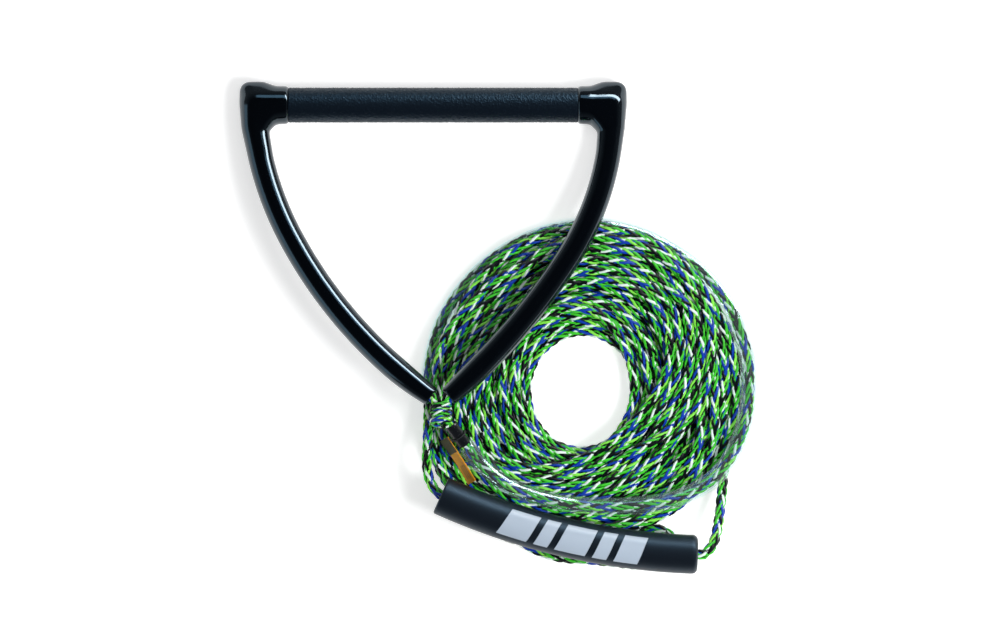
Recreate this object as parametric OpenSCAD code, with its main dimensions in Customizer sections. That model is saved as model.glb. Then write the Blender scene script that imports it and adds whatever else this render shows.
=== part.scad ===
// Water ski tow handle with its coiled line, foam line float and boat-end eye.
// Units are millimetres. +Z is up, the coil lies flat on z = 0, and +X runs along the grip.

/* [Handle] */
// Width of the handle over both elbows
handle_w = 330; // [300:5:380]
// Diameter of the padded grip
grip_d = 30; // [28:0.5:31]
// Visible length of the grip between the two collars
grip_len = 246; // [230:1:250]
// Outer diameter of the aluminium core tube
core_d = 22; // [20:0.5:24]
// Wall of the aluminium core tube
core_wall = 2; // [1.5:0.1:2.5]
// Outer diameter of the curved arms
arm_d = 21.2; // [20.6:0.2:21.6]
// Outer diameter of the arms at their cut ends
arm_end_d = 16.8; // [16:0.2:18]
// Rope passage through the arms
arm_bore = 11.4; // [11:0.1:12]
// Depth of the handle from the grip axis to the cut ends of the arms
arm_depth = 254; // [250:0.2:258]
// Lean of the handle where it rests on the coil, degrees
handle_lean = 12; // [12:0.5:14]

/* [Line] */
// Diameter of the braided line
rope_d = 9.5; // [8:0.1:9.8]
// Outer diameter of the clear chafe tube
clear_d = 15; // [14:0.1:15.2]
// Bore of the clear chafe tube
clear_bore = 11.6; // [11.2:0.1:12]
// Outer diameter of the black line sleeve
sleeve_d = 11.4; // [11:0.1:12]

/* [Coil] */
// Mean radius of the coiled line
coil_r = 90; // [88:0.5:90]
// Width of the bundle of turns
coil_w = 76; // [70:1:76]
// Height of the bundle of turns
coil_h = 35; // [33:1:35]

/* [Float] */
// Diameter of the foam float
float_d = 33; // [30:0.5:33]
// Bore of the foam float
float_bore = 12; // [11.6:0.1:14]
// Radius of the float's lasting bend
float_bend_r = 564; // [540:1:600]

/* [Hidden] */
$fn = 64;

gap = 0.3;
rope_sides = 10;
tube_sides = 12;

// Grip axis: it runs along X at this place, and the handle leans up from it.
grip_y = 119.2;
grip_z = 16.3;
collar_r = 16.1;
collar_in = grip_len / 2 + gap;
elbow_x = handle_w / 2 - 12.7;
core_half = elbow_x - 14.5;
bend_r = 13;
bend_x = elbow_x - bend_r;
bush_flange = 1.4;

// Each arm starts at the elbow with a heading, turns through a first arc and ends in a second one that
// meets its cut end. The pull of the line has drawn both ends a little to the right.
arm_top = [elbow_x, -bend_r];
left_end = [0, -arm_depth];
right_end = [13, -arm_depth];
left_heading = 6.5;
left_r = 290;
left_sweep = 21;
right_heading = 2.4;
right_r = 245;
right_sweep = 30.4;
bow_steps = 8;
taper_steps = 3;
elbow_sweep = 7;

// The hitch that ties the line to the bridle, and the axis the handle swings on.
hitch_x = 7.2;
hitch_depth = 268.7;
hitch_r = 9.8;
hitch_half = 9;

// The coil
coil_x = 133;
coil_y = -120;

// The float's arc
float_left = [6.8, -212.5];
float_right = [224.4, -262.7];
float_z = 44;
float_c = arc_centre(float_left, float_right, float_bend_r);
float_a0 = angle_of(float_left - float_c);
float_a1 = angle_of(float_right - float_c);

// Route of the line from the hitch to the float: the hitch is above the first point.
lead_points = [
  [14, -151.2, 58.1], [15, -152.4, 57.8], [28, -170, 51], [40, -185, 46.6], [56, -199, 44.6],
  [74, -209, 43.8], [108, -218.5, 43.6], [142, -222, 43.6], [184, -220, 43.2], [214, -213, 40.2],
  [238, -199, 34.2], [256, -176, 28], [267, -146, 23.5], [269.4, -115, 21], [268, -94, 19.5],
  [262, -75, 18], [255.4, -57, 16.5], [245, -41, 15], [232, -25.6, 13.5], [216, -12, 12],
  [180, 8, 9], [140, 16.5, 8], [100, 12.5, 8],
  [62, -4, 8], [31, -30, 8], [8, -64, 8.5], [-3, -104, 12], [-3.5, -128, 17.5],
  [-4, -150, 24], [-4.5, -170, 31.5], [-5, -187, 38.5], [-2.5, -200.5, 42.6], [2, -208, 43.8]
];
// Route of the line from the float's right end into the coil
tail_points = [
  [229.4, -262.8, 44], [235.2, -257.8, 42.4], [239.6, -249, 38.6], [242.4, -237, 32],
  [244.6, -222, 24.5], [246.4, -208, 18], [247, -197, 14.8], [246.2, -190, 14]
];
// Route of the boat-end eye: out of the coil, round the eye and back to the seizing
eye_points = [
  [30.2, -200.4, 7.6], [36, -212, 6.8], [46, -224.5, 6.2], [62, -237.6, 6], [80, -243.2, 6],
  [100, -245.8, 5.6], [124, -247.6, 5], [146, -247.2, 5], [164, -245, 5], [180, -242.5, 5],
  [194, -243.5, 5], [204, -250, 5], [207, -260, 5], [201, -269, 5], [188, -273, 5],
  [174, -273, 5], [156, -271, 5], [133, -268.6, 5], [107, -266.4, 5.6], [86, -259.4, 6],
  [74, -251.8, 6], [62, -247.6, 6]
];

// ---- functions ----
function angle_of(v) = atan2(v[1], v[0]);

// Centre of the arc of radius r from a to b, on the left of the way from a to b
function arc_centre(a, b, r) =
  let (d = b - a, half = norm(d) / 2, n = [-d[1], d[0]] / norm(d))
  (a + b) / 2 + n * sqrt(r * r - half * half);

function polar(c, r, a) = [c[0] + r * cos(a), c[1] + r * sin(a)];

function unit(v) = v / norm(v);

function tangent(p, i) = unit(p[min(i + 1, len(p) - 1)] - p[max(i - 1, 0)]);

// Frames that turn as little as they can along the route
function carry(p, i, side) =
  let (t = tangent(p, i), s = side - t * (side * t))
  i == len(p) - 1 ? [unit(s)] : concat([unit(s)], carry(p, i + 1, unit(s)));

function ring(c, t, side, r, n) =
  let (up = cross(t, side))
  [for (k = [0:n - 1]) c + r * (cos(360 * k / n) * side + sin(360 * k / n) * up)];

// Rings of points round a route. r is one radius, or one for each point of the route.
function rings(p, r, n) =
  let (sides = carry(p, 0, [0.02, 0.03, 1]))
  [for (i = [0:len(p) - 1]) each ring(p[i], tangent(p, i), sides[i], is_list(r) ? r[i] : r, n)];

function skin(m, n, first, out) = [
  for (i = [0:m - 2], k = [0:n - 1])
    let (a = first + i * n + k, b = first + i * n + (k + 1) % n)
    each out ? [[a, b, b + n], [a, b + n, a + n]] : [[a, b + n, b], [a, a + n, b + n]]
];

// Solid rod along a route
module rod(p, r, n) {
  m = len(p);
  polyhedron(
    points = rings(p, r, n),
    faces = concat(
      skin(m, n, 0, false),
      [[for (k = [0:n - 1]) k], [for (k = [0:n - 1]) m * n - 1 - k]]
    )
  );
}

module rope(p) {
  rod(p, rope_d / 2, rope_sides);
}

// Hollow hose along a route
module hose(p, d, bore, n) {
  m = len(p);
  far = (m - 1) * n;
  polyhedron(
    points = concat(rings(p, d / 2, n), rings(p, bore / 2, n)),
    faces = concat(
      skin(m, n, 0, false),
      skin(m, n, m * n, true),
      [for (k = [0:n - 1]) let (q = (k + 1) % n) each [[k, q, m * n + q], [k, m * n + q, m * n + k]]],
      [for (k = [0:n - 1]) let (q = (k + 1) % n)
        each [[far + k, m * n + far + q, far + q], [far + k, m * n + far + k, m * n + far + q]]]
    )
  );
}

// ---- routes ----
sleeve_from = lead_points[1];
sleeve_to = lead_points[2];
float_steps = 8;
float_curve = [for (k = [0:float_steps])
  let (q = polar(float_c, float_bend_r, float_a0 + (float_a1 - float_a0) * k / float_steps))
  [q[0], q[1], float_z]];
line_curve = concat(lead_points, float_curve, tail_points);
first_clear = 2;
last_clear = 27;
clear_start = sleeve_to + unit(lead_points[3] - sleeve_to) * gap;
clear_curve = concat([clear_start], [for (i = [first_clear + 1:last_clear]) lead_points[i]]);

// An arm's two arcs from the elbow to the cut end, each [centre, radius, first heading, last heading].
// A heading is measured from straight down, and grows as the arm turns in.
function bow(heading, r, sweep, end) =
  let (
    c = arm_top + r * [-cos(heading), sin(heading)],
    h = heading + sweep,
    p = on_arc(c, r, h),
    n = [-cos(h), sin(h)],
    d = end - p,
    far_r = d * d / (2 * (d * n)),
    far_c = p + far_r * n
  )
  [[c, r, heading, h], [far_c, far_r, h, -angle_of(end - far_c)]];
function on_arc(c, r, h) = polar(c, r, -h);
left_bow = bow(left_heading, left_r, left_sweep, left_end);
right_bow = bow(right_heading, right_r, right_sweep, right_end);

// Centre line of an arm, from its cut end to the elbow
function bow_path(b) =
  [for (k = [1, 0], i = [0:bow_steps - k]) on_arc(b[k][0], b[k][1], b[k][3] + (b[k][2] - b[k][3]) * i / bow_steps)];

// Centre line of the bridle, from the hitch up one arm, through the grip and down the other.
function bend_path() =
  [for (i = [1:4]) polar([bend_x, -bend_r], bend_r, 90 * i / 4)];
function leg(b, foot) = concat([foot, foot + [0, 2]], bow_path(b), bend_path());
foot_y = -(hitch_depth - hitch_half - gap);
right_leg = leg(right_bow, [hitch_x + 4.9, foot_y]);
left_leg = leg(left_bow, [4.9 - hitch_x, foot_y]);
bridle_path = concat(
  [for (i = [0:len(left_leg) - 1]) [-left_leg[i][0], left_leg[i][1], 0]],
  [for (k = [-2:2]) [k * bend_x / 3, 0, 0]],
  [for (i = [len(right_leg) - 1:-1:0]) [right_leg[i][0], right_leg[i][1], 0]]
);

// ---- placing ----
module place_handle() {
  translate([0, grip_y, grip_z])
    rotate([-handle_lean, 0, 0])
      children();
}

module along(from, to) {
  d = to - from;
  translate(from)
    rotate([0, acos(d[2] / norm(d)), angle_of(d)])
      children();
}

// Passage along both of an arm's arcs, run on a little at both ends
module bow_bore(b) {
  q = bow_path(b);
  n = len(q) - 1;
  run_on = 0.15;
  foot = q[0] + run_on * (q[0] - q[1]);
  head = q[n] + run_on * (q[n] - q[n - 1]);
  route = concat([foot], [for (i = [1:n - 1]) q[i]], [head]);
  rod([for (c = route) [c[0], c[1], 0]], arm_bore / 2, 16);
}

// The arm's outside, which narrows towards the cut end
module bow_tube(b) {
  path = [for (q = bow_path(b)) [q[0], q[1], 0]];
  radii = [for (i = [0:len(path) - 1]) (arm_end_d + (arm_d - arm_end_d) * sin(90 * min(1, i / taper_steps))) / 2];
  rod(path, radii, 20);
}

module elbow_shell(b) {
  low = on_arc(b[0][0], b[0][1], b[0][2] + elbow_sweep);
  hull() {
    translate([elbow_x + 4.3, 12, 0]) sphere(r = 8.4, $fn = 32);
    translate([elbow_x - 5.8, 10.8, 0]) sphere(r = 9.6, $fn = 32);
    translate([elbow_x - 1.6, 1, 0]) sphere(r = 14.4, $fn = 32);
    translate([elbow_x - 19, 0, 0]) rotate([0, 90, 0]) cylinder(r = collar_r - 0.3, h = 1, $fn = 40);
    translate([elbow_x - 0.4, -19, 0]) sphere(r = 11.4, $fn = 32);
  }
  hull() {
    translate([elbow_x - 0.4, -19, 0]) sphere(r = 11.4, $fn = 32);
    translate([low[0], low[1], 0]) sphere(d = arm_d, $fn = 32);
  }
}

module arm(b) {
  difference() {
    union() {
      bow_tube(b);
      elbow_shell(b);
      hull()
        translate([collar_in, 0, 0])
          rotate([0, 90, 0])
            cylinder(r = collar_r, h = elbow_x - 18.5 - collar_in, $fn = 48);
    }
    bow_bore(b);
    translate([bend_x, -bend_r, 0])
      rotate([0, 0, -4])
        rotate_extrude(angle = 98)
          translate([bend_r, 0])
            circle(d = arm_bore + 0.8);
    translate([collar_in - 1, 0, 0])
      rotate([0, 90, 0])
        cylinder(d = core_d + 0.1, h = core_half + 0.2 - collar_in + 1);
    translate([core_half, 0, 0])
      rotate([0, 90, 0])
        cylinder(d = core_d - 2, h = bush_flange + 0.3);
  }
}

// ---- handle ----
module grip_cover() {
  color("#23272d")
    place_handle()
      rotate([0, 90, 0])
        difference() {
          cylinder(d = grip_d, h = grip_len, center = true);
          cylinder(d = core_d + 0.1, h = grip_len + 2, center = true);
        }
}

module core_tube() {
  color("silver")
    place_handle()
      rotate([0, 90, 0])
        difference() {
          cylinder(d = core_d, h = 2 * core_half, center = true);
          cylinder(d = core_d - 2 * core_wall, h = 2 * core_half + 2, center = true);
        }
}

module end_bush() {
  bush_len = 12;
  color("#d8d8d0")
    place_handle()
      translate([core_half - bush_len, 0, 0])
        rotate([0, 90, 0])
          difference() {
            union() {
              cylinder(d = core_d - 2 * core_wall - 0.1, h = bush_len);
              translate([0, 0, bush_len + 0.05]) cylinder(d = core_d - 2.4, h = bush_flange);
              translate([0, 0, bush_len - 0.1]) cylinder(d = core_d - 2 * core_wall - 0.1, h = 0.2);
            }
            translate([0, 0, -1]) cylinder(d = arm_bore, h = bush_len + bush_flange + 2);
          }
}

module left_end_bush() {
  mirror([1, 0, 0]) end_bush();
}

module right_end_bush() {
  end_bush();
}

module left_arm() {
  color("#0b0c0e")
    place_handle()
      mirror([1, 0, 0])
        arm(left_bow);
}

module right_arm() {
  color("#0b0c0e")
    place_handle()
      arm(right_bow);
}

module bridle_rope() {
  color("limegreen")
    place_handle()
      rope(bridle_path);
}

// Three flattened turns of line round the bridle's two legs
module apex_hitch() {
  turns = 3;
  turn_r = hitch_half / turns;
  color("limegreen")
    place_handle()
      translate([hitch_x, -hitch_depth, 0])
        rotate([90, 0, 0])
          union() {
            cylinder(r = hitch_r - turn_r, h = 2 * hitch_half - turn_r, center = true);
            for (k = [-1:1])
              translate([0, 0, k * 2 * turn_r])
                rotate_extrude()
                  translate([hitch_r - turn_r, 0])
                    circle(r = turn_r);
          }
}

// ---- line ----
module lead_line() {
  color("limegreen") rope(line_curve);
}

module line_sleeve() {
  d = norm(sleeve_to - sleeve_from);
  color("#15171b")
    along(sleeve_from, sleeve_to)
      difference() {
        cylinder(d = sleeve_d, h = d - 1);
        translate([0, 0, -1]) cylinder(d = rope_d + 0.4, h = d + 2);
      }
}

module clear_tube() {
  color("lightcyan", 0.5) hose(clear_curve, clear_d, clear_bore, tube_sides);
}

module line_float() {
  a = float_a1 - float_a0;
  color("#22252c")
    translate([float_c[0], float_c[1], float_z])
      rotate([0, 0, float_a0])
        rotate_extrude(angle = a)
          translate([float_bend_r, 0])
            difference() {
              circle(d = float_d);
              circle(d = float_bore);
            }
}

// The wound line as one ring, flat where it rests
module rope_coil() {
  step = 10;
  color("limegreen")
    translate([coil_x, coil_y, 0])
      rotate_extrude($fn = 96)
        polygon([
          for (a = [step / 2:step:360])
            [coil_r + coil_w / 2 * cos(a), max(0, min(coil_h, coil_h / 2 * (1 + 1.02 * sin(a))))]
        ]);
}

module boat_loop() {
  color("limegreen") rope(eye_points);
}

// Whipping that closes the eye, round both of its legs
module boat_seizing() {
  from = [64, -243.1, 6];
  to = [76, -247.2, 6];
  half = 5;
  color("white")
    along(from, to)
      linear_extrude(height = 9)
        difference() {
          hull() {
            translate([0, -half]) circle(r = 5.9);
            translate([0, half]) circle(r = 5.9);
          }
          hull() {
            translate([0, -half]) circle(r = 5.2);
            translate([0, half]) circle(r = 5.2);
          }
        }
}

// ---- tag ----
tag_len = 44;
tag_h = 20;
tag_t = 0.8;
tag_from = [13, -162.5, 52];
tag_heading = -57;
tag_lean = 22;

module line_tag() {
  color("orange")
    translate(tag_from)
      rotate([0, 0, tag_heading])
        rotate([-tag_lean, 0, 0])
          translate([0, -tag_t, -tag_h])
            cube([tag_len, tag_t, tag_h]);
}

// Thread that ties the tag to the sleeve
module tag_string() {
  color("#15171b")
    along(sleeve_from * 0.45 + sleeve_to * 0.55, sleeve_to)
      rotate_extrude()
        translate([sleeve_d / 2 + 1.1, 0])
          circle(r = 0.7);
}

grip_cover();
core_tube();
left_end_bush();
right_end_bush();
left_arm();
right_arm();
bridle_rope();
apex_hitch();
lead_line();
line_sleeve();
clear_tube();
line_float();
rope_coil();
boat_loop();
boat_seizing();
line_tag();
tag_string();
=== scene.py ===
"""Looks of the tow handle with its coiled line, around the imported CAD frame."""

import math

import bpy
import numpy as np
from mathutils import Matrix, Vector, noise


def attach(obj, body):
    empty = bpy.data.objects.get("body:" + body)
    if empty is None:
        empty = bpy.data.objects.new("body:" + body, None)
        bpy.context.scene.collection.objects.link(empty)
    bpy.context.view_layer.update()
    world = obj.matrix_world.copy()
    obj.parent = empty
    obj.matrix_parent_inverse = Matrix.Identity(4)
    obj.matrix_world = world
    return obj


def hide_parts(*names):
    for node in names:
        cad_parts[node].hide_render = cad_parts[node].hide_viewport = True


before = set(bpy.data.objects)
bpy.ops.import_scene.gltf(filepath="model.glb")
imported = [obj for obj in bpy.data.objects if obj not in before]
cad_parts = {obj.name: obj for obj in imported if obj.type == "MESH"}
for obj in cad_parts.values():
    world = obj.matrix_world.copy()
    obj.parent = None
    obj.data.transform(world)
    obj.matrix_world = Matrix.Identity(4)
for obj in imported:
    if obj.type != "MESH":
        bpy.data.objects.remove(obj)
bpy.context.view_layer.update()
MM = 0.001

# ---- driving values, in metres; they repeat part.scad's ----
ROPE_D = 9.5 * MM
CLEAR_D = 15 * MM
CLEAR_BORE = 11.6 * MM
SLEEVE_D = 11.4 * MM
FLOAT_D = 33 * MM
FLOAT_BORE = 12 * MM
FLOAT_BEND_R = 564 * MM
FLOAT_Z = 44 * MM
FLOAT_LEFT = (6.8 * MM, -212.5 * MM)
FLOAT_RIGHT = (224.4 * MM, -262.7 * MM)
COIL_CENTRE = np.array([133, -120]) * MM
GRIP_D = 30 * MM
GRIP_LEN = 246 * MM
CORE_D = 22 * MM
HANDLE_LEAN = math.radians(12)
GRIP_PLACE = np.array([0, 119.2, 16.3]) * MM
HITCH = (7.2 * MM, -268.7 * MM)
FIRST_CLEAR, LAST_CLEAR = 2, 27  # of LEAD_POINTS, the clear tube's two ends
FIBRE_MAP = "OFBake"  # the yarns' own map, which braid() lays and yarn() draws fibres on

# The line from the hitch to the float, from the float to the coil, and its boat-end eye, as in part.scad.
LEAD_POINTS = np.array([
    [14, -151.2, 58.1], [15, -152.4, 57.8], [28, -170, 51], [40, -185, 46.6], [56, -199, 44.6],
    [74, -209, 43.8], [108, -218.5, 43.6], [142, -222, 43.6], [184, -220, 43.2], [214, -213, 40.2],
    [238, -199, 34.2], [256, -176, 28], [267, -146, 23.5], [269.4, -115, 21], [268, -94, 19.5],
    [262, -75, 18], [255.4, -57, 16.5], [245, -41, 15], [232, -25.6, 13.5], [216, -12, 12],
    [180, 8, 9], [140, 16.5, 8], [100, 12.5, 8],
    [62, -4, 8], [31, -30, 8], [8, -64, 8.5], [-3, -104, 12], [-3.5, -128, 17.5],
    [-4, -150, 24], [-4.5, -170, 31.5], [-5, -187, 38.5], [-2.5, -200.5, 42.6], [2, -208, 43.8],
]) * MM
TAIL_POINTS = np.array([
    [229.4, -262.8, 44], [235.2, -257.8, 42.4], [239.6, -249, 38.6], [242.4, -237, 32],
    [244.6, -222, 24.5], [246.4, -208, 18], [247, -197, 14.8], [246.2, -190, 14],
]) * MM
EYE_POINTS = np.array([
    [30.2, -200.4, 7.6], [36, -212, 6.8], [46, -224.5, 6.2], [62, -237.6, 6], [80, -243.2, 6],
    [100, -245.8, 5.6], [124, -247.6, 5], [146, -247.2, 5], [164, -245, 5], [180, -242.5, 5],
    [194, -243.5, 5], [204, -250, 5], [207, -260, 5], [201, -269, 5], [188, -273, 5],
    [174, -273, 5], [156, -271, 5], [133, -268.6, 5], [107, -266.4, 5.6], [86, -259.4, 6],
    [74, -251.8, 6], [62, -247.6, 6],
]) * MM


# ---- camera: straight down, the frame 0.85 m wide ----
def make_camera():
    data = bpy.data.cameras.new("camera")
    data.lens, data.sensor_width = 200, 36
    data.clip_end = 60
    cam = in_scene("camera", data)
    view_w, height = 0.85, 0.03
    cam.location = (0.057, -0.064, height + view_w * data.lens / data.sensor_width)
    bpy.context.scene.camera = cam


# ---- mesh and path helpers ----
def new_mesh(name, verts, quads, materials, index=None, caps=(), uv=None):
    """A smooth-shaded object from arrays. caps are polygons of any size, added after the quads.
    index gives the quads' materials, and uv gives each of their corners its place on FIBRE_MAP."""
    mesh = bpy.data.meshes.new(name)
    quads = np.asarray(quads, np.int32).reshape(-1, 4)
    loops = np.concatenate([quads.ravel()] + [np.asarray(c, np.int32) for c in caps])
    sizes = np.concatenate([np.full(len(quads), 4, np.int32), np.array([len(c) for c in caps], np.int32)])
    mesh.vertices.add(len(verts))
    mesh.vertices.foreach_set("co", np.asarray(verts, np.float32).ravel())
    mesh.loops.add(len(loops))
    mesh.loops.foreach_set("vertex_index", loops)
    mesh.polygons.add(len(sizes))
    mesh.polygons.foreach_set("loop_start", np.concatenate([[0], np.cumsum(sizes)[:-1]]).astype(np.int32))
    mesh.polygons.foreach_set("use_smooth", np.ones(len(sizes), bool))
    if index is not None:
        full = np.zeros(len(sizes), np.int32)
        full[:len(index)] = index
        mesh.polygons.foreach_set("material_index", full)
    mesh.update(calc_edges=True)
    if uv is not None:
        corners = np.full((len(loops), 2), 0.5, np.float32)
        corners[:len(uv)] = uv
        mesh.uv_layers.new(name=FIBRE_MAP).data.foreach_set("uv", corners.ravel())
    for m in materials:
        mesh.materials.append(m)
    return in_scene(name, mesh)


def in_scene(name, data):
    obj = bpy.data.objects.new(name, data)
    bpy.context.scene.collection.objects.link(obj)
    return obj


def lengths(line):
    """How far along the line each of its points is"""
    return np.concatenate([[0], np.cumsum(np.linalg.norm(np.diff(line, axis=0), axis=1))])


def spaced(line, step):
    """The line again with evenly spaced points about step apart."""
    along = lengths(line)
    at = np.linspace(0, along[-1], max(2, round(along[-1] / step) + 1))
    return np.stack([np.interp(at, along, line[:, k]) for k in range(3)], axis=1)


def curve_through(points, per_span=12):
    """A smooth curve through given points: centripetal Catmull-Rom."""
    p = np.vstack([2 * points[0] - points[1], points, 2 * points[-1] - points[-2]])
    out = []
    for i in range(1, len(p) - 2):
        spans = np.linalg.norm(np.diff(p[i - 1:i + 3], axis=0), axis=1)
        knots = np.concatenate([[0], np.cumsum(spans ** 0.5)])
        t = np.linspace(knots[1], knots[2], per_span, endpoint=False)[:, None]

        def mix(a, b, ka, kb):
            return ((kb - t) * a + (t - ka) * b) / (kb - ka)

        a1, a2, a3 = (mix(p[i - 1 + k], p[i + k], knots[k], knots[k + 1]) for k in range(3))
        b1, b2 = mix(a1, a2, knots[0], knots[2]), mix(a2, a3, knots[1], knots[3])
        out.append(mix(b1, b2, knots[1], knots[2]))
    return np.vstack(out + [p[-2:-1]])


def smoothed(line, rounds):
    """Evens out a line, each point towards the two beside it, with its ends kept"""
    for _ in range(rounds):
        line[1:-1] = line[1:-1] / 2 + (line[:-2] + line[2:]) / 4
    return line


def unit(vectors):
    return vectors / np.linalg.norm(vectors, axis=-1)[..., None]


def frames_along(line, up=(0.02, 0.03, 1)):
    """Tangents, and two cross directions that turn as little as they can"""
    t = unit(np.gradient(line, axis=0))
    side = np.array(up, float)
    n = np.empty_like(line)
    for i, ti in enumerate(t):
        side = side - ti * (side @ ti)
        side /= np.linalg.norm(side)
        n[i] = side
    return t, n, np.cross(t, n)


def circle(n, b, count):
    """Unit vectors round a line at each of its points, on its cross directions n and b"""
    phi = 2 * math.pi * np.arange(count) / count
    return np.cos(phi)[None, :, None] * n[:, None] + np.sin(phi)[None, :, None] * b[:, None]


def grid_quads(rows, cols, first=0, wrap=True):
    """The faces of a grid of points, closed round its columns if it wraps"""
    i, k = np.meshgrid(np.arange(rows - 1), np.arange(cols if wrap else cols - 1), indexing="ij")
    a, b = first + i * cols + k, first + i * cols + (k + 1) % cols
    return np.stack([a, b, b + cols, a + cols], axis=-1).reshape(-1, 4)


def ring_quads(rows, sides):
    """The faces of a ring-shaped skin, whose last row joins its first"""
    last, first = (rows - 1) * sides + np.arange(sides), np.arange(sides)
    join = np.stack([last, np.roll(last, -1), np.roll(first, -1), first], axis=1)
    return np.vstack([grid_quads(rows, sides), join])


# ---- braided rope ----
BRAID_PITCH = 55 * MM
STRANDS = 6  # of each hand
OVER = "green blue green_light green black green".split()
UNDER = "white black blue white black black".split()
STRAND_MIDDLE, STRAND_WAVE = 3.12 * MM, 0.8 * MM
STRAND_HALF_W, STRAND_HALF_T = 1.36 * MM, 0.86 * MM
CORE_SHARE = 0.56
CORE_SIDES = 6
FIBRE_RINGS = 4
# The rope's own twist is a random angle, in radians, at even steps along it.
TWIST_STEP, TWIST_SPREAD = 0.28, 1.3


def fibre_map(rows, sides):
    """Places on FIBRE_MAP for the corners of one strand's faces: round it, and along it every FIBRE_RINGS"""
    ring, side = np.meshgrid(np.arange(rows - 1), np.arange(sides), indexing="ij")
    low = np.stack([side / sides, ring % FIBRE_RINGS / FIBRE_RINGS], axis=-1)
    cell = np.array([[0, 0], [1 / sides, 0], [1 / sides, 1 / FIBRE_RINGS], [0, 1 / FIBRE_RINGS]])
    return (low[:, :, None] + cell).reshape(-1, 2)


def strand_rings(line, out, r, half_w, half_t, sides):
    """Flattened rings of one strand, r out from the line, with their wide side along the rope's surface"""
    section = 2 * math.pi * (np.arange(sides) + 0.5) / sides
    middle = line + r[:, None] * out
    ahead = unit(np.gradient(middle, axis=0))
    wide = unit(np.cross(ahead, out))
    up = np.cross(wide, ahead)
    return (middle[:, None] + wide[:, None] * (half_w * np.cos(section))[None, :, None]
            + up[:, None] * (half_t * np.sin(section))[None, :, None])


def braid(name, line, d=ROPE_D, sides=5, phase=0.0):
    """A hollow 12-strand braid round a core, each strand a closed flattened yarn; the core's near-black
    colour is painted shade in the gaps between the strands.
    Strands of one hand ride over in three columns along the rope, and the others in the three between.
    The columns wander round the rope, as a rope that has been coiled by hand is twisted unevenly."""
    scale = d / ROPE_D
    _, n, b = frames_along(line)
    s = lengths(line)
    knots = np.arange(0, s[-1] + 0.6, TWIST_STEP)
    twist = np.interp(s, knots, np.random.default_rng(3).normal(0, TWIST_SPREAD, len(knots))) + phase
    slots = ["core"] + sorted(set(OVER + UNDER))
    verts, quads, index, caps = [], [], [], []

    def add(rings, slot):
        rows, count = rings.shape[:2]
        base = sum(map(len, verts))
        verts.append(rings.reshape(-1, 3))
        quads.append(grid_quads(rows, count, base))
        index.append(np.full(len(quads[-1]), slots.index(slot)))
        caps.append(np.arange(count)[::-1] + base)
        caps.append(np.arange(count) + base + (rows - 1) * count)

    for hand, colours in ((1, OVER), (-1, UNDER)):
        for j, colour in enumerate(colours):
            phi = hand * 2 * math.pi * s / (BRAID_PITCH * scale) + 2 * math.pi * j / STRANDS
            r = scale * (STRAND_MIDDLE + hand * STRAND_WAVE * np.cos(STRANDS / 2 * phi))
            phi = phi + twist
            out = np.cos(phi)[:, None] * n + np.sin(phi)[:, None] * b
            add(strand_rings(line, out, r, scale * STRAND_HALF_W, scale * STRAND_HALF_T, sides), colour)
    # The core, near-black: painted shade where it shows between the strands.
    add(line[:, None] + d / 2 * CORE_SHARE * circle(n, b, CORE_SIDES), "core")
    fibres = np.tile(fibre_map(len(line), sides), (2 * STRANDS, 1))
    yarns = [yarn(c) for c in slots]
    return new_mesh(name, np.vstack(verts), np.vstack(quads), yarns, np.concatenate(index), caps, fibres)


# ---- route of the line ----
def float_arc(steps):
    """The float's axis, level from its left end to its right end"""
    a, b = np.array(FLOAT_LEFT), np.array(FLOAT_RIGHT)
    d = b - a
    half = np.linalg.norm(d) / 2
    c = (a + b) / 2 + np.array([-d[1], d[0]]) / (2 * half) * math.sqrt(FLOAT_BEND_R ** 2 - half ** 2)
    first, last = (math.atan2(*(p - c)[::-1]) for p in (a, b))
    angle = np.linspace(first, last, steps + 1)
    x, y = c[0] + FLOAT_BEND_R * np.cos(angle), c[1] + FLOAT_BEND_R * np.sin(angle)
    return np.stack([x, y, np.full(len(angle), FLOAT_Z)], 1)


# Layers of the coil from the floor up, in mm: turns, first and last radius, height, how far the layer's
# middle is off, how oval it is and towards where in degrees, and how uneven its turns are.
LAYERS = (
    (7.3, 124, 56, 5, (0, 0), (2, 90), 1.5),
    (7.8, 54, 128, 13.4, (2, 1), (2, 80), 2.5),
    (7.2, 126, 56, 21.8, (0, 3), (5, 100), 3.5),
    (5.4, 84, 114, 30.4, (-10, 8), (15, 42), 4.5),
)
LAYER_KNOTS = 5
# How many turns the line takes to reach the first layer, to cross to the next one and to leave the last one.
LEAD_IN, CROSSING, LEAD_OUT = 0.3, 0.45, 0.2
# The coil's inner turns are off its middle, in mm, and the outer turns, past SPREAD_FROM, spread out by up to
# SPREAD mm towards the float's left end, in the layers below SPREAD_TOP.
HOLE_SHIFT = (-8, -6)
INNER_R, MEAN_R, OUTER_R = 50, 92, 125
SPREAD, SPREAD_WAY, SPREAD_SHARPNESS = 25, math.radians(211), 10
SPREAD_FROM, SPREAD_FULL, SPREAD_TOP = 88, 122, 25


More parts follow.
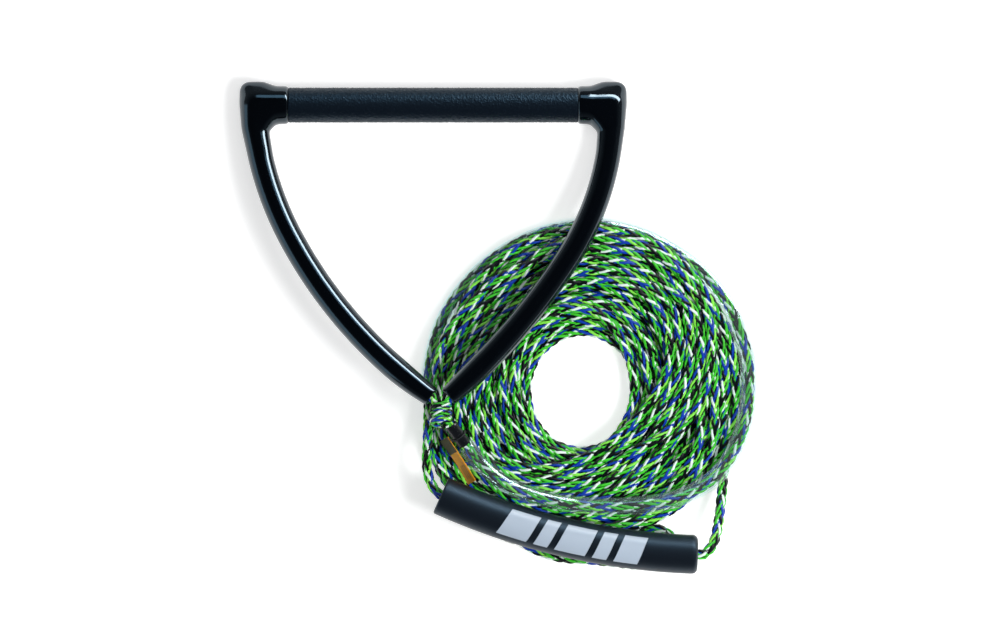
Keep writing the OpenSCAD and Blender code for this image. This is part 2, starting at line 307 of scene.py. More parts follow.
def coil_route(step):
    """The wound turns: flat spirals on each other, each turn a little off the one before"""
    rng = np.random.default_rng(7)
    start = TAIL_POINTS[-1][:2] - COIL_CENTRE
    end = EYE_POINTS[0][:2] - COIL_CENTRE
    a0, a1 = math.atan2(start[1], start[0]), math.atan2(end[1], end[0])
    knots = [(0.0, np.linalg.norm(start) / MM, TAIL_POINTS[-1][2] / MM, 0, 0, 0, 0, 0)]
    at = LEAD_IN
    for turns, r0, r1, z, (ox, oy), (oval, way), uneven in LAYERS:
        oval_x, oval_y = oval * math.cos(math.radians(2 * way)), oval * math.sin(math.radians(2 * way))
        for k in np.linspace(0, 1, LAYER_KNOTS):
            knots.append((at + k * (turns - CROSSING), r0 + (r1 - r0) * k, z, ox, oy, oval_x, oval_y, uneven))
        at += turns
    part_turn = (a1 - a0) / (2 * math.pi)
    whole = round(at + LEAD_OUT - part_turn) + part_turn
    knots.append((whole, np.linalg.norm(end) / MM, EYE_POINTS[0][2] / MM, 0, 0, 0, 0, 0))
    knots = np.array(knots)
    t = np.linspace(0, whole, round(whole * 2 * math.pi * MEAN_R * MM / step))
    r, z, ox, oy, oval_x, oval_y, uneven = (np.interp(t, knots[:, 0], knots[:, k]) for k in range(1, 8))
    turn_at = np.arange(math.ceil(whole) + 2)
    # The shifts grow over half a turn from the coil's two ends, which stay where the line meets them.
    calm = np.clip(np.minimum(t, whole - t) / 0.5, 0, 1)
    inner = calm * np.clip((OUTER_R - r) / (OUTER_R - INNER_R), 0, 1)
    ox, oy = (o + inner * hole + uneven * np.interp(t, turn_at, rng.normal(0, 1, len(turn_at)))
              for o, hole in ((ox, HOLE_SHIFT[0]), (oy, HOLE_SHIFT[1])))
    theta = a0 + 2 * math.pi * t
    for m in (2, 3, 5):
        wave = np.interp(t, turn_at, rng.normal(0, 1 / m, len(turn_at)))
        r = r + uneven * wave * np.cos(m * theta + rng.uniform(0, 6))
    outer = np.clip((r - SPREAD_FROM) / (SPREAD_FULL - SPREAD_FROM), 0, 1) * (z < SPREAD_TOP)
    r = r + calm * (oval_x * np.cos(2 * theta) + oval_y * np.sin(2 * theta))
    r = r + calm * outer * SPREAD * np.maximum(0, np.cos(theta - SPREAD_WAY)) ** SPREAD_SHARPNESS
    x = COIL_CENTRE[0] + (ox + r * np.cos(theta)) * MM
    y = COIL_CENTRE[1] + (oy + r * np.sin(theta)) * MM
    return np.stack([x, y, z * MM], axis=1)


# The settling step: its rounds, how much of an overlap a round takes away, how far a point first sinks, how
# much it is drawn between its neighbours, and how near along the line two points may overlap.
ROUNDS, PUSH, SINK, EVEN, NEAR = 36, 0.8, 0.25 * MM, 0.28, 3


def settle(line, radius, free, solid, solid_r):
    """Lays the free points of a line down: they push apart where they meet, sink, and keep smooth"""
    line = line.copy()
    moving = np.flatnonzero(free)
    others = np.concatenate([radius, solid_r]).astype(np.float32)
    number = np.concatenate([np.arange(len(line)), np.full(len(solid), -1000)])
    lowest = radius[moving]
    for k in range(ROUNDS):
        a = line[moving].astype(np.float32)
        b = np.vstack([line, solid]).astype(np.float32)
        d2 = (a ** 2).sum(1)[:, None] + (b ** 2).sum(1)[None] - 2 * a @ b.T
        reach = radius[moving].astype(np.float32)[:, None] + others[None]
        i, j = np.nonzero(d2 < reach ** 2)
        far = np.abs(moving[i] - number[j]) > NEAR
        i, j = i[far], j[far]
        gap = line[moving[i]] - b[j]
        dist = np.linalg.norm(gap, axis=1)
        push = (reach[i, j] - dist) * np.where(np.isin(j, moving), 0.5, 1.0)
        move = np.zeros((len(moving), 3))
        hits = np.zeros(len(moving))
        np.add.at(move, i, gap / np.maximum(dist, 1e-6)[:, None] * push[:, None])
        np.add.at(hits, i, 1)
        line[moving] += move / np.maximum(1, hits ** 0.5)[:, None] * PUSH
        line[moving, 2] -= SINK * (1 - k / ROUNDS)
        line[moving, 2] = np.maximum(line[moving, 2], lowest)
        mean = (line[moving - 1] + line[moving + 1]) / 2
        line[moving] += EVEN * (mean - line[moving])
    return line


def handle_to_world(p):
    """From the handle's own plane, grip axis on y = 0, to where it leans on the coil"""
    x, y, z = np.moveaxis(np.asarray(p, float), -1, 0)
    c, s = math.cos(-HANDLE_LEAN), math.sin(-HANDLE_LEAN)
    return np.stack([x, c * y - s * z, s * y + c * z], axis=-1) + GRIP_PLACE


# Each arm in the handle's plane, in mm: first heading, radius and sweep of its first arc, and its cut end.
ARM_TOP = np.array([152.3, -13])
BEND_R = 13  # of the bridle, from the grip into the arm
BOWS = {-1: (6.5, 290, 21, (0, -254)), 1: (2.4, 245, 30.4, (13, -254))}


def bow_route(side, steps=24):
    """Centre line of an arm from the elbow to its cut end: two arcs, the second one meeting the cut end"""
    heading, r, sweep, end = BOWS[side]
    rows = []

    def turn(centre, radius, first, last):
        a = np.linspace(first, last, steps)
        rows.append(centre + radius * np.stack([np.cos(a), -np.sin(a)], axis=1))

    first, last = math.radians(heading), math.radians(heading + sweep)
    turn(ARM_TOP + r * np.array([-math.cos(first), math.sin(first)]), r, first, last)
    n = np.array([-math.cos(last), math.sin(last)])
    d = np.array(end, float) - rows[0][-1]
    far_r = d @ d / (2 * (d @ n))
    centre = rows[0][-1] + far_r * n
    turn(centre, far_r, last, -math.atan2(*(np.array(end) - centre)[::-1]))
    return np.vstack([rows[0], rows[1][1:]])


def leg_route(side):
    """Centre line of one leg of the bridle, from the hitch through the arm to the grip"""
    bend = np.radians(np.linspace(12, 90, 7))
    corner = np.stack([ARM_TOP[0] - BEND_R + BEND_R * np.cos(bend), -BEND_R + BEND_R * np.sin(bend)], 1)
    foot = np.array([[HITCH[0] / MM * side + 4.4, -259.5]])
    flat = np.vstack([foot, bow_route(side)[::-1], corner])
    flat[:, 0] *= side
    return np.column_stack([flat, np.zeros(len(flat))]) * MM


# Where the tag hangs, and its size.
TAG_FROM = np.array([13, -162.5, 52]) * MM
TAG_LEN, TAG_H, TAG_T = 44 * MM, 20 * MM, 0.5 * MM
TAG_HEADING, TAG_LEAN = math.radians(-57), math.radians(-22)


def tag_to_world(x, y, z):
    """From along, across and up on the tag's own film to where it hangs"""
    y, z = y * math.cos(TAG_LEAN) - z * math.sin(TAG_LEAN), y * math.sin(TAG_LEAN) + z * math.cos(TAG_LEAN)
    c, s = math.cos(TAG_HEADING), math.sin(TAG_HEADING)
    return np.stack([x * c - y * s, x * s + y * c, z], -1) + TAG_FROM


def line_radii(lead, count):
    """How thick each point of the line counts as while the coil settles: rope, clear tube or float"""
    radius = np.full(count, ROPE_D / 2 * 0.97)
    first, last = (np.linalg.norm(lead - LEAD_POINTS[k], axis=1).argmin() for k in (FIRST_CLEAR, LAST_CLEAR))
    radius[first:last] = CLEAR_D / 2 + 0.6 * MM
    first, last = (np.linalg.norm(lead[:, :2] - end, axis=1).argmin() for end in (FLOAT_LEFT, FLOAT_RIGHT))
    radius[first:last] = FLOAT_D / 2 + 0.5 * MM
    return radius


def kept_clear(step):
    """Points and radii of what the coil settles round: the two arms, the boat-end eye and the tag"""
    arms = [spaced(handle_to_world(leg_route(side)[1:]), step) for side in (1, -1)]
    eye = spaced(curve_through(EYE_POINTS)[4:], step)
    tag_x, tag_z = np.meshgrid(np.linspace(0, TAG_LEN, 15), np.linspace(0, -TAG_H, 7))
    film = tag_to_world(tag_x.ravel(), 0 * tag_x.ravel(), tag_z.ravel())
    parts = ((arms[0], 11.4 * MM), (arms[1], 11.4 * MM), (eye, ROPE_D / 2), (film, 2.2 * MM))
    radii = [np.full(len(points), r) for points, r in parts]
    return np.vstack([points for points, _ in parts]), np.concatenate(radii)


def main_line(step=3.4 * MM, coarse=6 * MM):
    """The whole line from the hitch to the boat end, in the order that it is laid: settled in coarse steps,
    then drawn again as one smooth curve"""
    hitch_in = handle_to_world(np.array([[HITCH[0] + 1 * MM, HITCH[1] - 4 * MM, -3 * MM]]))
    lead = spaced(curve_through(np.vstack([hitch_in, LEAD_POINTS, float_arc(12), TAIL_POINTS])), coarse)
    coil = spaced(coil_route(coarse), coarse)
    line = np.vstack([lead, coil[1:]])
    free = np.zeros(len(line), bool)
    free[len(lead):-1] = True
    line = settle(line, line_radii(lead, len(line)), free, *kept_clear(coarse))
    rest = smoothed(line[len(lead) - 3:].copy(), 3)
    return np.vstack([spaced(line[:len(lead) - 2], step)[:-1], spaced(curve_through(rest, 4), step)])


# ---- materials ----
def material(name, colour, rough=0.5, **inputs):
    """A principled material; other inputs are given by name, with _ for a space"""
    m = bpy.data.materials.new(name)
    m.use_nodes = True
    p = m.node_tree.nodes["Principled BSDF"]
    p.inputs["Base Color"].default_value = (*colour, 1)
    p.inputs["Roughness"].default_value = rough
    for key, value in inputs.items():
        p.inputs[key.replace("_", " ")].default_value = value
    return m


def bump(m, scale, strength, distance, detail=2.0, stretch=(1, 1, 1)):
    """Fine relief from noise in object coordinates"""
    nt = m.node_tree
    p = nt.nodes["Principled BSDF"]
    coord = nt.nodes.new("ShaderNodeTexCoord")
    place = nt.nodes.new("ShaderNodeMapping")
    place.inputs["Scale"].default_value = stretch
    tex = nt.nodes.new("ShaderNodeTexNoise")
    tex.inputs["Scale"].default_value = scale
    tex.inputs["Detail"].default_value = detail
    relief = nt.nodes.new("ShaderNodeBump")
    relief.inputs["Strength"].default_value = strength
    relief.inputs["Distance"].default_value = distance
    nt.links.new(coord.outputs["Object"], place.inputs["Vector"])
    nt.links.new(place.outputs["Vector"], tex.inputs["Vector"])
    nt.links.new(tex.outputs[0], relief.inputs["Height"])
    nt.links.new(relief.outputs["Normal"], p.inputs["Normal"])
    return m


# Colour and roughness of each yarn, and of the core under them; the core's near-black is painted shade for
# the gaps between strands.
YARNS = {
    "green": ((0.05, 0.56, 0.028), 0.42),
    "green_light": ((0.24, 0.8, 0.08), 0.42),
    "blue": ((0.004, 0.045, 0.42), 0.4),
    "white": ((0.8, 0.92, 0.88), 0.42),
    "black": ((0.0012, 0.0022, 0.004), 0.45),
    "core": ((0.0006, 0.001, 0.001), 0.9),
}
made = {}  # materials that several pieces share


def yarn(name):
    """Filament yarn: fine fibres run along it, on the map that braid() lays on each strand"""
    if name in made:
        return made[name]
    colour, rough = YARNS[name]
    m = material("yarn_" + name, colour, rough)
    nt = m.node_tree
    p = nt.nodes["Principled BSDF"]
    p.inputs["Specular IOR Level"].default_value = 0.4
    place = nt.nodes.new("ShaderNodeUVMap")
    place.uv_map = FIBRE_MAP
    stretch = nt.nodes.new("ShaderNodeMapping")
    stretch.inputs["Scale"].default_value = (26, 2.2, 1)
    stretch.inputs["Rotation"].default_value = (0, 0, 0.06)
    fibres = nt.nodes.new("ShaderNodeTexNoise")
    fibres.inputs["Scale"].default_value = 1
    fibres.inputs["Detail"].default_value = 3
    relief = nt.nodes.new("ShaderNodeBump")
    relief.inputs["Strength"].default_value = 0.35
    relief.inputs["Distance"].default_value = 0.2 * MM
    sheen = nt.nodes.new("ShaderNodeMapRange")
    sheen.inputs["To Min"].default_value = rough - 0.1
    sheen.inputs["To Max"].default_value = rough + 0.16
    nt.links.new(place.outputs["UV"], stretch.inputs["Vector"])
    nt.links.new(stretch.outputs["Vector"], fibres.inputs["Vector"])
    nt.links.new(fibres.outputs[0], relief.inputs["Height"])
    nt.links.new(relief.outputs["Normal"], p.inputs["Normal"])
    nt.links.new(fibres.outputs[0], sheen.inputs["Value"])
    nt.links.new(sheen.outputs["Result"], p.inputs["Roughness"])
    made[name] = m
    return m


def gloss_vinyl():
    """The dipped skin of the arms, black with a cold sheen"""
    if "vinyl" not in made:
        made["vinyl"] = material("gloss_vinyl", (0.0008, 0.0014, 0.0026), 0.1, Specular_IOR_Level=0.8,
                                 Specular_Tint=(0.66, 0.86, 1, 1))
        bump(made["vinyl"], 60, 0.03, 0.4 * MM)
    return made["vinyl"]


def grip_skin():
    skin = material("grip_skin", (0.0035, 0.006, 0.0105), 0.4, Specular_IOR_Level=0.36,
                    Specular_Tint=(0.4, 0.72, 1, 1))
    return bump(skin, 1800, 0.25, 0.15 * MM)


def foam():
    closed_cell = material("foam", (0.006, 0.0085, 0.013), 0.44, Specular_IOR_Level=0.42,
                           Specular_Tint=(0.46, 0.74, 1, 1))
    return bump(closed_cell, 900, 0.25, 0.2 * MM, detail=4)


def print_silver():
    return bump(material("print_silver", (0.42, 0.5, 0.6), 0.38), 1400, 0.15, 0.1 * MM)


def shrink_black():
    return bump(material("shrink_black", (0.006, 0.007, 0.009), 0.22), 260, 0.3, 0.3 * MM)


def clear_vinyl():
    """Thin clear wall: it shows what is inside, washed a little pale, and shines most at its edges"""
    m = material("clear_vinyl", (0.82, 0.95, 0.96), 0.045, Metallic=0.75, Specular_IOR_Level=1.0)
    nt = m.node_tree
    p = nt.nodes["Principled BSDF"]
    out = nt.nodes["Material Output"]
    see = nt.nodes.new("ShaderNodeBsdfTransparent")
    see.inputs["Color"].default_value = (0.95, 0.99, 0.99, 1)
    mix = nt.nodes.new("ShaderNodeMixShader")
    edge = nt.nodes.new("ShaderNodeLayerWeight")
    edge.inputs["Blend"].default_value = 0.3
    steep = nt.nodes.new("ShaderNodeMath")
    steep.operation = "POWER"
    steep.inputs[1].default_value = 4
    cloud = nt.nodes.new("ShaderNodeTexNoise")
    cloud.inputs["Scale"].default_value = 45
    share = nt.nodes.new("ShaderNodeMapRange")
    share.inputs["To Min"].default_value, share.inputs["To Max"].default_value = 0.05, 0.15
    total = nt.nodes.new("ShaderNodeMath")
    total.operation, total.use_clamp = "MULTIPLY_ADD", True
    total.inputs[1].default_value = 0.75
    coord = nt.nodes.new("ShaderNodeTexCoord")
    nt.links.new(coord.outputs["Object"], cloud.inputs["Vector"])
    nt.links.new(cloud.outputs[0], share.inputs["Value"])
    nt.links.new(edge.outputs["Facing"], steep.inputs[0])
    nt.links.new(steep.outputs[0], total.inputs[0])
    nt.links.new(share.outputs["Result"], total.inputs[2])
    nt.links.new(total.outputs[0], mix.inputs["Fac"])
    nt.links.new(see.outputs["BSDF"], mix.inputs[1])
    nt.links.new(p.outputs["BSDF"], mix.inputs[2])
    nt.links.new(mix.outputs["Shader"], out.inputs["Surface"])
    return m


def finish_cad_nodes():
    """The CAD nodes that stay as they are get their own finish"""
    metal = material("aluminium", (0.6, 0.61, 0.62), 0.3, Metallic=1.0)
    bump(metal, 700, 0.1, 0.05 * MM, stretch=(0.05, 1, 1))
    plastic = bump(material("bush_plastic", (0.62, 0.62, 0.58), 0.4), 500, 0.1, 0.1 * MM)
    thread = bump(material("tag_thread", (0.01, 0.011, 0.013), 0.7), 2500, 0.6, 0.2 * MM)
    finishes = {"core_tube": metal, "left_end_bush": plastic, "right_end_bush": plastic, "tag_string": thread}
    for node, finish in finishes.items():
        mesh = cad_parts[node].data
        mesh.materials.clear()
        mesh.materials.append(finish)


# ---- the line and its fittings ----
def tube(name, line, radii, materials, sides=24, bore=None):
    """A tube along a line. radii is one value or one for each point, and bore makes it hollow."""
    _, n, b = frames_along(line)
    around = circle(n, b, sides)
    radii = np.broadcast_to(radii, len(line))
    outer = line[:, None] + radii[:, None, None] * around
    rows = [outer]
    if bore is not None:
        rows.append((line[:, None] + bore * around)[::-1])
    verts = np.concatenate(rows).reshape(-1, 3)
    total = sum(len(r) for r in rows)
    if bore is not None:
        return new_mesh(name, verts, ring_quads(total, sides), materials)
    caps = (np.arange(sides)[::-1], np.arange(sides) + (total - 1) * sides)
    return new_mesh(name, verts, grid_quads(total, sides), materials, None, caps)


def make_line():
    route = main_line()
    line = braid("line", route)
    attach(line, "line")
    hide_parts("lead_line", "rope_coil")
    return line, route


def make_clear_tube():
    """The clear tube over the line's first turn, from just past the sleeve"""
    points = LEAD_POINTS[FIRST_CLEAR:LAST_CLEAR + 1].copy()
    points[0] += unit(points[1] - points[0]) * 0.3 * MM
    path = spaced(curve_through(points, 8), 3 * MM)
    hose = tube("clear_hose", path, CLEAR_D / 2, [clear_vinyl()], 40, CLEAR_BORE / 2)
    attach(hose, "line")
    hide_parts("clear_tube")
    return hose


def make_sleeve():
    """The shrunk sleeve: rounded ends and a slightly uneven side, as how far along and how far out, in mm"""
    a, b = LEAD_POINTS[1], LEAD_POINTS[FIRST_CLEAR]
    long = np.linalg.norm(b - a) / MM
    near_end = [(0, -0.9), (0.3, -0.35), (0.9, -0.05), (2.2, 0)]
    side = [(6, -0.12), (11, 0.02), (15, -0.1), (19, 0)]
    far_end = [(long - 2.2, -0.05), (long - 1.5, -0.4), (long - 1.1, -0.9)]
    profile = np.array(near_end + side + far_end) * MM
    line = a + unit(b - a) * profile[:, :1]
    radii = SLEEVE_D / 2 + profile[:, 1]
    sleeve = tube("shrink_sleeve", line, radii, [shrink_black()], 40, ROPE_D / 2 + 0.2 * MM)
    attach(sleeve, "line")
    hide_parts("line_sleeve")
    return sleeve


def make_boat_eye():
    tip = EYE_POINTS[-1] + (EYE_POINTS[-1] - EYE_POINTS[-2]) * 0.2
    route = spaced(curve_through(np.vstack([EYE_POINTS, tip])), 2.6 * MM)
    route[:, 2] = np.maximum(route[:, 2], ROPE_D / 2)
    eye = braid("boat_eye_rope", route, phase=0.5)
    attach(eye, "line")
    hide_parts("boat_loop")
    return eye, route


# The whipping starts and heads along the eye's closing end, and its turns pass round both legs there.
WHIPPING_FROM, WHIPPING_TO = np.array([64, -243.1, 6]) * MM, np.array([76, -247.2, 6]) * MM
WHIPPING_TURNS, WHIPPING_LONG = 9, 8.2 * MM
THREAD_R = 0.5 * MM


def make_seizing():
    """Whipping thread in flattened turns round the eye's two legs"""
    ahead = unit(WHIPPING_TO - WHIPPING_FROM)
    side, up = np.cross([0, 0, 1], ahead), np.array([0, 0, 1])
    half_gap, r = 5 * MM, 5.35 * MM
    u = np.linspace(0, WHIPPING_TURNS, WHIPPING_TURNS * 40)
    angle = 2 * math.pi * u
    along = u / WHIPPING_TURNS * WHIPPING_LONG + THREAD_R
    across = r * np.cos(angle) + half_gap * np.clip(np.cos(angle) * 3, -1, 1)
    high = r * np.sin(angle)
    path = WHIPPING_FROM + ahead * along[:, None] + side * across[:, None] + up * high[:, None]
    path[:, 2] = np.maximum(path[:, 2], THREAD_R)
    wrap = tube("whipping", path, THREAD_R, [material("whipping_thread", (0.82, 0.84, 0.8), 0.6)], 6)
    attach(wrap, "line")
    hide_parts("boat_seizing")
    return wrap


# ---- float ----
# The print: plain bars, from and to in mm after PRINT_FROM, over the float's upper side.
PRINT_FROM = 58 * MM
BARS = ((0, 26), (32, 44), (50, 76), (82, 94), (100, 120))
PRINT_HALF_ANGLE = math.radians(44)
LEFT_EDGE, RIGHT_EDGE = 1.8 * MM, 4.5 * MM
FLOAT_SIDES = 96


def float_profile(long, r, bore):
    """The float's section as places along it and radii, with a row of points at each end of each bar"""
    quarter = np.radians(np.linspace(0, 90, 6))

    def end(edge):
        rounded = [(edge * (1 - math.cos(x)), r - edge * (1 - math.sin(x))) for x in quarter]
        return [(0, bore), (0, r * 0.6)] + rounded

    bars = [PRINT_FROM + x * MM for bar in BARS for x in bar]
    rows = sorted(set(bars + list(np.linspace(4 * MM, long - 7 * MM, 90))))
    kept = [x for x in rows if x in bars or all(abs(x - e) > 0.8 * MM for e in bars)]
    right = [(long - x, y) for x, y in end(RIGHT_EDGE)[::-1]]
    back = [(x, bore) for x in np.linspace(long, 0, 30)[1:-1]]
    return np.array(end(LEFT_EDGE) + [(x, r) for x in kept] + right + back)


def make_float():
    """The foam float: square edge on the left, rounded on the right, with slanted bars on its upper side"""
    arc = float_arc(60)
    t, _, _ = frames_along(arc)
    long, r = lengths(arc)[-1], FLOAT_D / 2
    profile = float_profile(long, r, FLOAT_BORE / 2)
    phi = 2 * math.pi * np.arange(FLOAT_SIDES) / FLOAT_SIDES
    from_top = np.where(phi > math.pi, phi - 2 * math.pi, phi)
    along, radius = profile[:, :1] + 0 * phi, profile[:, 1:] + 0 * phi
    slant = np.clip(np.minimum(along - 20 * MM, long - 20 * MM - along) / (25 * MM), 0, 1)
    lean = 0.28 * r * from_top * np.clip((math.pi - np.abs(from_top)) / 1.2, 0, 1)
    along = along + np.where(radius > r * 0.99, slant * lean, 0)

    def on_arc(rows):
        return np.stack([np.interp(along, lengths(arc), rows[:, k]) for k in range(3)], axis=-1)

    side = unit(np.cross([0, 0, 1], on_arc(t)))
    outward = np.sin(phi)[None, :, None] * side + np.cos(phi)[None, :, None] * np.array([0, 0, 1])
    verts = on_arc(arc) + radius[..., None] * outward
    middle = (profile[:-1, 0] + profile[1:, 0]) / 2 - PRINT_FROM
    barred = np.array([any(a * MM < m < b * MM for a, b in BARS) for m in middle])
    barred &= profile[:-1, 1] > r * 0.99
    face_phi = phi + math.pi / FLOAT_SIDES
    upper = np.minimum(face_phi, 2 * math.pi - face_phi) < PRINT_HALF_ANGLE
    index = (barred[:, None] & upper[None]).ravel().astype(int)
    quads = ring_quads(len(profile), FLOAT_SIDES)
    obj = new_mesh("foam_float", verts.reshape(-1, 3), quads, [foam(), print_silver()], index)
    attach(obj, "float")
    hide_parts("line_float")


# ---- handle ----
# The arm's diameters, its bore and how far it tapers from its cut end, in mm.
ARM_D, ARM_END_D, ARM_BORE, TAPER = 21.2, 16.8, 11.4, 44


def make_arm(side, node, name):
    """The dipped arm and elbow: the CAD arm and a finer tube on its faces, remeshed into one smooth skin"""
    flat = bow_route(side)[::-1]
    flat[:, 0] *= side
    path = spaced(np.column_stack([flat, np.zeros(len(flat))]), 2)
    full = np.sin(np.minimum(1, lengths(path) / TAPER) * math.pi / 2)
    radii = (ARM_END_D + (ARM_D - ARM_END_D) * full) / 2
    over = tube("over", handle_to_world(path * MM), radii * MM, [], 48, ARM_BORE / 2 * MM)
    verts, faces = [], []
    for mesh in (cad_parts[node].data, over.data):
        faces += [[len(verts) + v for v in face.vertices] for face in mesh.polygons]
        verts += [v.co[:] for v in mesh.vertices]
    bpy.data.objects.remove(over)
    raw = bpy.data.meshes.new(name)
    raw.from_pydata(verts, [], faces)
    obj = in_scene(name, raw)
    grid = obj.modifiers.new("grid", "REMESH")
    grid.mode, grid.voxel_size, grid.use_smooth_shade = "VOXEL", 0.9 * MM, True
    soft = obj.modifiers.new("soft", "SMOOTH")
    soft.factor, soft.iterations = 0.5, 60
    out = obj.modifiers.new("out", "DISPLACE")
    out.strength, out.mid_level = 0.4 * MM, 0
    mesh = bpy.data.meshes.new_from_object(obj.evaluated_get(bpy.context.evaluated_depsgraph_get()))
    obj.modifiers.clear()
    obj.data = mesh
    mesh.materials.append(gloss_vinyl())
    mesh.polygons.foreach_set("use_smooth", np.ones(len(mesh.polygons), bool))
    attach(obj, "handle")
    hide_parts(node)


# The grip's grain: pebbles PEBBLE across, with grooves GROOVE deep between them.
PEBBLE, GROOVE = 1.55 * MM, 0.42 * MM
GRIP_ROWS, GRIP_SIDES = 500, 192


def make_grip():
    """Foam grip with a pebbled leather grain raised on it"""
    r, bore, half = GRIP_D / 2, CORE_D / 2 + 0.05 * MM, GRIP_LEN / 2 + 0.4 * MM
    phi = 2 * math.pi * np.arange(GRIP_SIDES) / GRIP_SIDES
    ends = [(-half, bore), (-half, r - 0.9 * MM), (-half + 0.3 * MM, r - 0.4 * MM)]
    outer = []
    for x in np.linspace(-half + 1 * MM, half - 1 * MM, GRIP_ROWS):
        near = [noise.voronoi(Vector((x, r * math.cos(a), r * math.sin(a))) / PEBBLE)[0] for a in phi]
        raised = np.array([min(1.0, (second - first) * 1.8) for first, second, *_ in near])
        outer.append((x, r - GROOVE + GROOVE * raised))
    inner = [(x, bore) for x in np.linspace(half, -half, 12)[1:-1]]
    profile = ends + outer + [(-x, radius) for x, radius in ends[::-1]] + inner
    rings = [np.stack([x + 0 * phi, radius * np.cos(phi), radius * np.sin(phi)], 1) for x, radius in profile]
    verts = handle_to_world(np.array(rings)).reshape(-1, 3)
    obj = new_mesh("grip", verts, ring_quads(len(rings), GRIP_SIDES), [grip_skin()])
    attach(obj, "handle")
    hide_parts("grip_cover")


def make_bridle():
    flat = np.vstack([leg_route(-1), leg_route(1)[::-1]])
    route = spaced(curve_through(handle_to_world(flat), 4), 3 * MM)
    rope = braid("bridle", route, phase=0.8)
    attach(rope, "handle")
    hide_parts("bridle_rope")


def make_hitch():
    """Three turns of thinner braid that bind the line to the bridle's legs, their ends tucked in"""
    u = np.linspace(-0.15, 3.15, 160)
    tuck = np.clip(np.minimum(u + 0.15, 3.15 - u) / 0.3, 0, 1)
    r = (2.5 + 3.9 * tuck) * MM
    a = 2 * math.pi * u - 0.6
    flat = np.stack([HITCH[0] + r * np.cos(a), HITCH[1] + (8.6 - 5.7 * u) * MM, r * np.sin(a)], axis=1)
    wraps = braid("hitch", spaced(handle_to_world(flat), 1.5 * MM), d=6.9 * MM)
    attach(wraps, "handle")
    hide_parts("apex_hitch")


# ---- tag ----
# The tag's colours: its film, a painted shadow for its end under the sleeve, and the ink of its lines.
FILMS = (("orange", (1, 0.42, 0.012)), ("painted_shadow", (0.06, 0.045, 0.006)), ("ink", (0.01, 0.01, 0.01)))


def make_tag():
    """A plastic film tag, a little curled, with a painted shadow darkening its end by the sleeve and a few
    plain printed lines
    """
    cols, rows = 45, 21
    u, v = np.linspace(0, 1, cols), np.linspace(0, 1, rows)
    uu, vv = np.meshgrid(u, v, indexing="ij")
    curl = -TAG_T + 0.9 * MM * np.sin(uu * math.pi * 1.1) * (0.4 + 0.6 * vv)
    front = tag_to_world(uu * TAG_LEN, curl - TAG_T / 2, -vv * TAG_H)
    back = tag_to_world(uu * TAG_LEN, curl + TAG_T / 2, -vv * TAG_H)
    verts = np.concatenate([front.reshape(-1, 3), back.reshape(-1, 3)])
    near = grid_quads(cols, rows, 0, wrap=False)
    far = grid_quads(cols, rows, cols * rows, wrap=False)[:, ::-1]
    grid = np.arange(cols * rows).reshape(cols, rows)
    rim = np.concatenate([grid[0], grid[1:, -1], grid[-1, -2::-1], grid[-2:0:-1, 0]])
    following = np.roll(rim, -1)
    edge = np.stack([rim, rim + cols * rows, following + cols * rows, following], axis=1)
    face_u, face_v = (uu[:-1, :-1] + uu[1:, 1:]) / 2, (vv[:-1, :-1] + vv[1:, 1:]) / 2
    block = (face_u > 0.62) & (face_u < 0.9) & (face_v > 0.15) & (face_v < 0.85)
    ink = block & (np.floor(face_v * 20) % 4 == 1)
    # The third of the film nearest the sleeve takes the painted shadow colour, the rest is orange film or
    # ink.
    face = np.where(face_u < 0.34, 1, np.where(ink, 2, 0)).ravel()
    films = [material("film_" + name, colour, 0.5, Specular_IOR_Level=0.2) for name, colour in FILMS]
    tag = new_mesh("tag_film", verts, np.vstack([near, far, edge]), films, np.concatenate([face, face]))
    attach(tag, "tag")
    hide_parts("line_tag")


# ---- floor and light ----
# Two soft lamps light the object, and the others only show as reflections on it: where each is, its size, its
# roll in degrees, its power and colour, and whether it is one of those that only show as reflections.
LAMPS = (
    ("top", (0.1, 0.3, 2.2), (1.6, 1.6), 0, 15, (1, 1, 1), False),
    ("key", (1.0, -0.45, 1.6), (0.6, 0.6), 0, 32, (1, 1, 1), False),
    ("streak", (0.95, 1.05, 0.66), (1.5, 0.4), 17, 32, (1, 1, 1), True),
    ("left_box", (-1.5, -0.44, 0.42), (1.7, 0.8), 0, 4.8, (0.6, 0.84, 1), True),
    ("back_box", (0.35, 1.45, 1.2), (1.9, 0.6), 0, 6.8, (0.48, 0.78, 1), True),
)
LIT_POINT = Vector((0.0, -0.03, 0))
FLOOR_HALF = 6


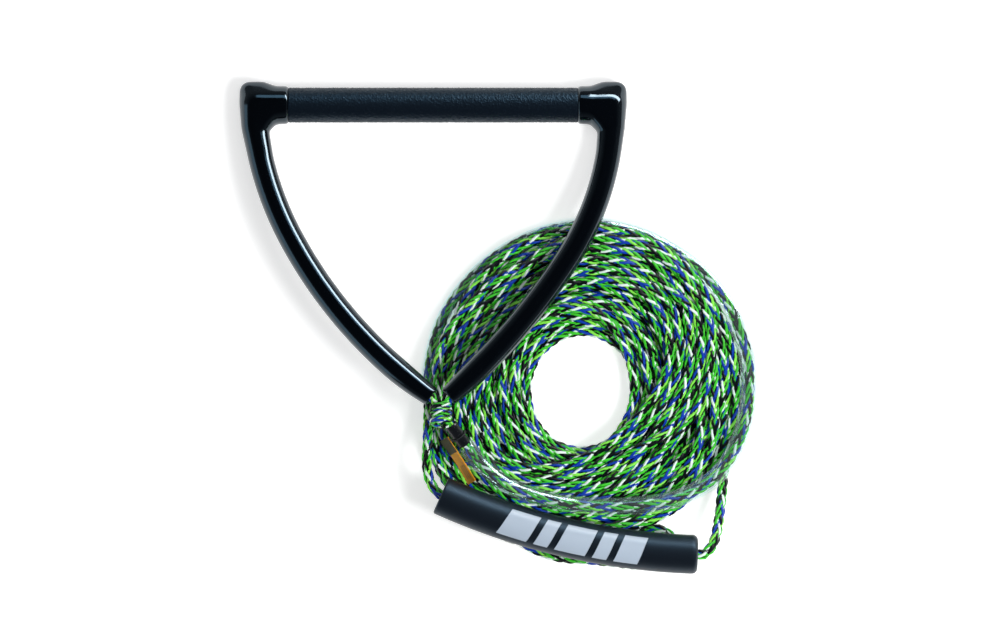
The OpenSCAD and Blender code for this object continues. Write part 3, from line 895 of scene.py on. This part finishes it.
def make_floor():
    mesh = bpy.data.meshes.new("floor")
    corners = [(x * FLOOR_HALF, y * FLOOR_HALF, 0) for x, y in ((-1, -1), (1, -1), (1, 1), (-1, 1))]
    mesh.from_pydata(corners, [], [(0, 1, 2, 3)])
    pale = material("floor", (0.72, 0.72, 0.72), 0.9, Emission_Color=(1, 1, 1, 1), Emission_Strength=0.6)
    mesh.materials.append(pale)
    floor = in_scene("floor", mesh)
    floor.location.z = -0.2 * MM


def make_lights():
    for name, place, size, roll, power, colour, reflected in LAMPS:
        data = bpy.data.lights.new(name, "AREA")
        data.shape, data.size, data.size_y, data.energy, data.color = "RECTANGLE", *size, power, colour
        lamp = in_scene(name, data)
        lamp.visible_glossy, lamp.visible_diffuse = reflected, not reflected
        lamp.location = place
        aim = (LIT_POINT - Vector(place)).to_track_quat("-Z", "Y").to_matrix()
        lamp.rotation_euler = (aim @ Matrix.Rotation(math.radians(roll), 3, "Z")).to_euler()


def make_world():
    """A studio that is dark overhead and pale blue-grey towards the horizon"""
    world = bpy.data.worlds.new("world")
    world.use_nodes = True
    nt = world.node_tree
    back = nt.nodes["Background"]
    coord = nt.nodes.new("ShaderNodeTexCoord")
    split = nt.nodes.new("ShaderNodeSeparateXYZ")
    level = nt.nodes.new("ShaderNodeMapRange")
    level.inputs["From Min"].default_value, level.inputs["From Max"].default_value = 0.1, 0.75
    level.inputs["To Min"].default_value, level.inputs["To Max"].default_value = 0.18, 0.015
    back.inputs["Color"].default_value = (0.86, 0.93, 1, 1)
    nt.links.new(coord.outputs["Generated"], split.inputs["Vector"])
    nt.links.new(split.outputs["Z"], level.inputs["Value"])
    nt.links.new(level.outputs["Result"], back.inputs["Strength"])
    return world


def make_stage():
    make_floor()
    make_lights()
    bpy.context.scene.world = make_world()
    bpy.context.scene.view_settings.view_transform = "Standard"


# ---- assembly ----
make_camera()
line, route = make_line()
eye, eye_route = make_boat_eye()
whipping = make_seizing()
sleeve = make_sleeve()
hose = make_clear_tube()
make_float()
make_arm(-1, "left_arm", "arm_left")
make_arm(1, "right_arm", "arm_right")
make_grip()
make_bridle()
make_hitch()
make_tag()
make_stage()

finish_cad_nodes()
